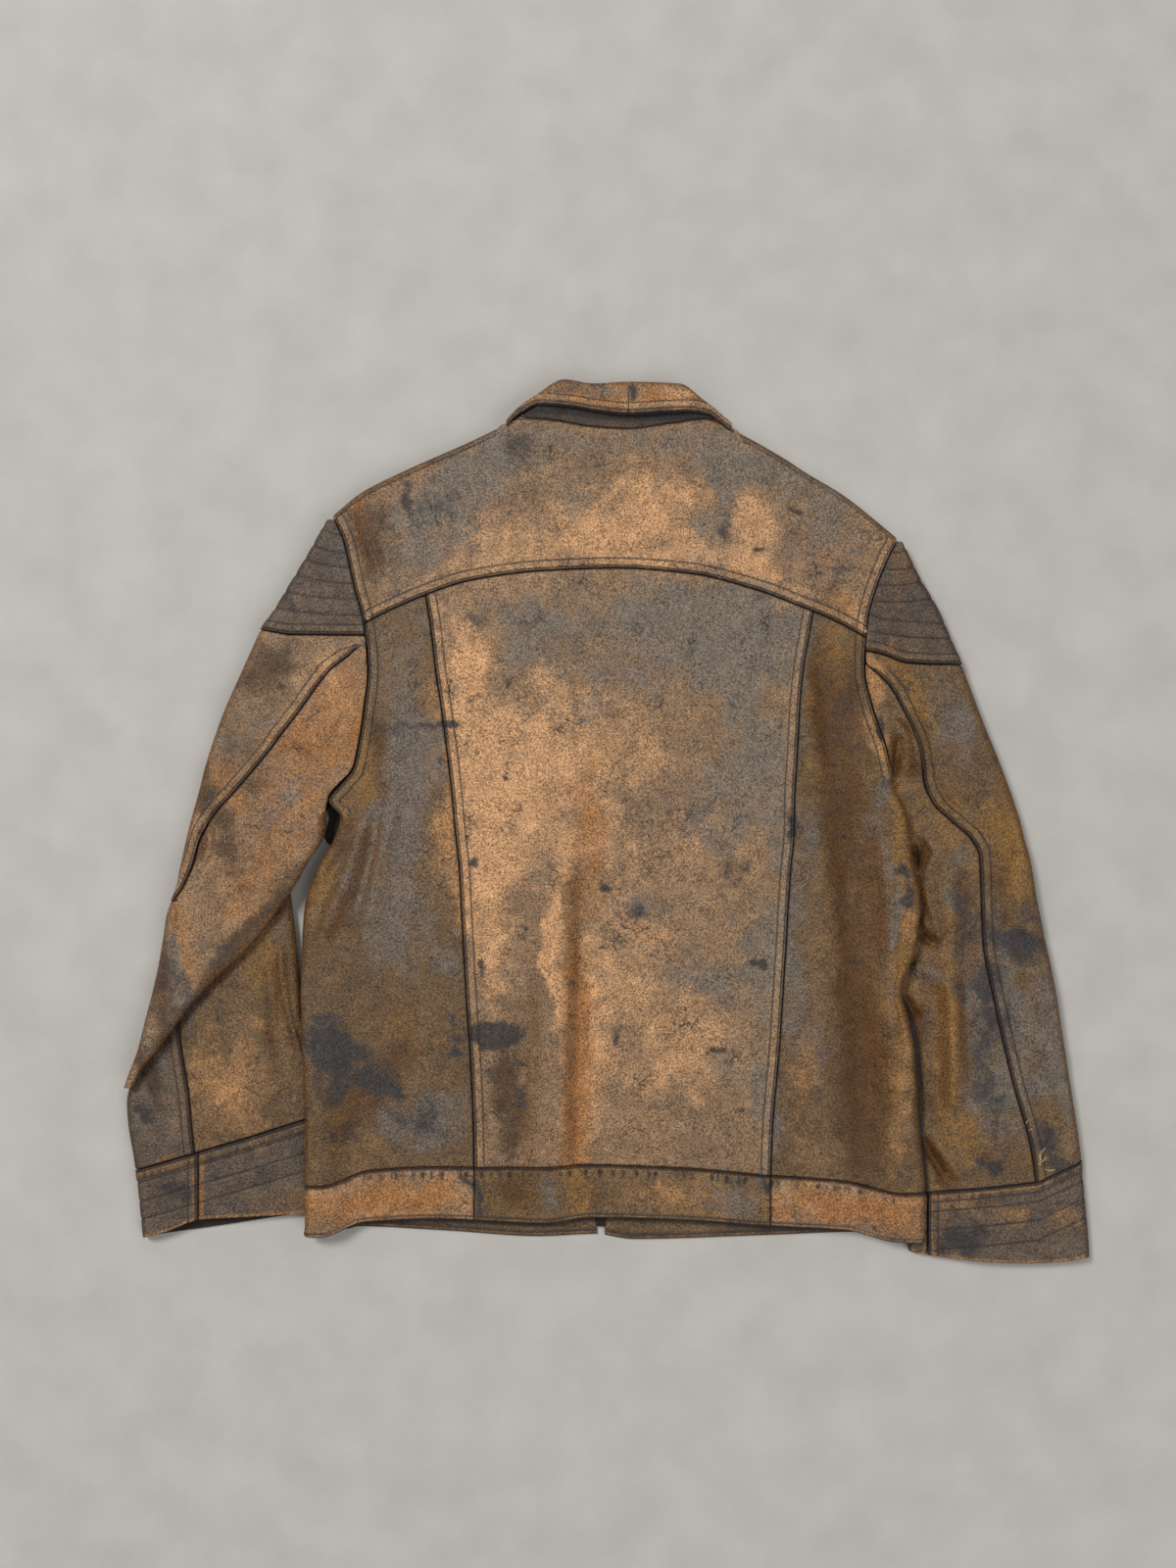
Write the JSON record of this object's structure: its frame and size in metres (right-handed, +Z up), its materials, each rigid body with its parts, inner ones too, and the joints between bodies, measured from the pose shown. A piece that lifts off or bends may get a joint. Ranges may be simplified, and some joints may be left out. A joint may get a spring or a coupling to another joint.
{
  "type": "leather jacket laid flat",
  "caption": "Hip-length zip jacket in worn brown leather, laid flat face down with its back up, the sleeves beside the body and one elbow folded over.",
  "frame": {"origin": "on the floor, in the middle of the garment's outline", "axes": "+X to the right of the view from above, +Y from the hem to the collar, +Z up from the floor; the back of the jacket faces +Z"},
  "size_m": [0.8318, 0.7596, 0.0232],
  "materials": {
    "tan_leather": "rubbed tan leather, worn satin, mottled with grey and near-black stains",
    "brown_leather": "mid-brown distressed leather, matt to satin, stained grey and dark",
    "dark_leather": "dark grey-brown leather, quilted, matt to satin, worn at the ridges",
    "zip_tape": "black woven tape",
    "zip_brass": "dulled brass"
  },
  "bodies": {
    "root": {"yoke": "tan_leather", "back_centre": "tan_leather", "band_left": "tan_leather", "band_right": "tan_leather", "sleeve_left_top": "tan_leather", "sleeve_left_under": "tan_leather", "collar_fall_left": "tan_leather", "collar_fall_right": "tan_leather", "back_side_left": "brown_leather", "back_side_right": "brown_leather", "band_back": "brown_leather", "band_front_left": "brown_leather", "band_front_right": "brown_leather", "front_left": "brown_leather", "front_right": "brown_leather", "sleeve_right_top": "brown_leather", "sleeve_right_under": "brown_leather", "forearm_left_under": "brown_leather", "collar_front_left": "brown_leather", "collar_front_right": "brown_leather", "cap_left": "dark_leather", "cap_right": "dark_leather", "forearm_left_top": "dark_leather", "cuff_left_outer": "dark_leather", "cuff_left_inner": "dark_leather", "cuff_right_inner": "dark_leather", "cuff_right_outer": "dark_leather", "collar_stand": "dark_leather", "zip_tape": "zip_tape", "zip_chain": "zip_brass", "zip_slider": "zip_brass"}
  },
  "joints": []
}
